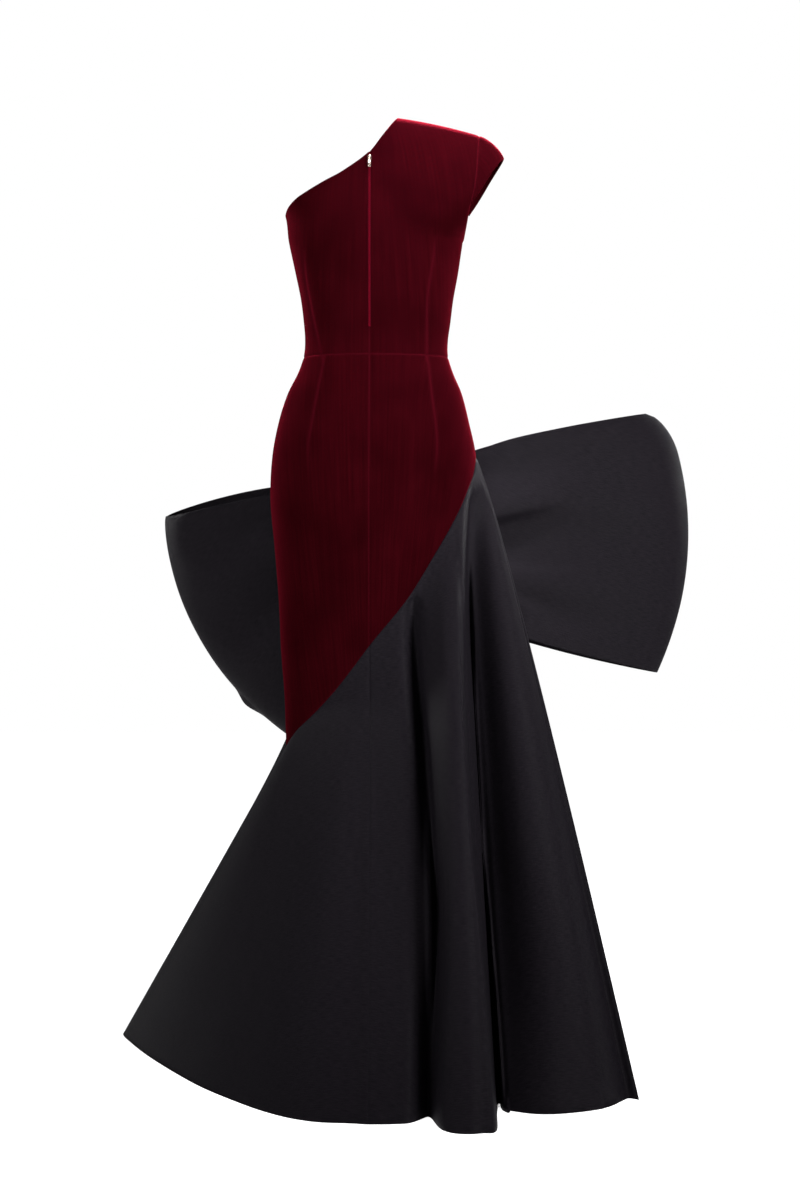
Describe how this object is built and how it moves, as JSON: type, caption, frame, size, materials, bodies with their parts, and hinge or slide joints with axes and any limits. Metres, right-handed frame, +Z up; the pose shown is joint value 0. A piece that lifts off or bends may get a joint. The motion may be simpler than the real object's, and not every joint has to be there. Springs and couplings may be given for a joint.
{
  "type": "one-shoulder gown",
  "caption": "Long one-shoulder evening gown, fitted velvet to a slanted seam, then a black faille flounce with a train; big flat bow at the front.",
  "frame": {"origin": "middle of the one shoulder seam, on the inside of the cloth, where the wearer's right shoulder carries the gown", "axes": "+Z up, +Y towards the wearer's back, +X towards the wearer's left"},
  "size_m": [0.9791, 1.1265, 1.5339],
  "materials": {
    "velvet": "deep burgundy cotton-silk velvet with a crimson sheen at grazing angles",
    "faille": "black ribbed faille with a soft satin sheen",
    "zip_coil": "crimson nylon coil",
    "zip_metal": "polished pale nickel"
  },
  "bodies": {
    "gown": {"bodice_back_left": "velvet", "bodice_back_right": "velvet", "bodice_front": "velvet", "cap_sleeve": "velvet", "skirt_back_left": "velvet", "skirt_back_right": "velvet", "skirt_front": "velvet", "flounce_back_left": "faille", "flounce_back_right": "faille", "flounce_front": "faille", "bow_loop_right": "faille", "bow_loop_left": "faille", "bow_knot": "faille", "zip_chain": "zip_coil", "zip_slider": "zip_metal"},
    "zip_pull": {"zip_pull": "zip_metal"}
  },
  "joints": [
    {"name": "zip_pull_hinge", "type": "hinge", "parent": "gown", "child": "zip_pull", "pos_m": [0.115, 0.08864, -0.06658], "axis": [1, 0, 0], "range_deg": [0, 150]}
  ]
}
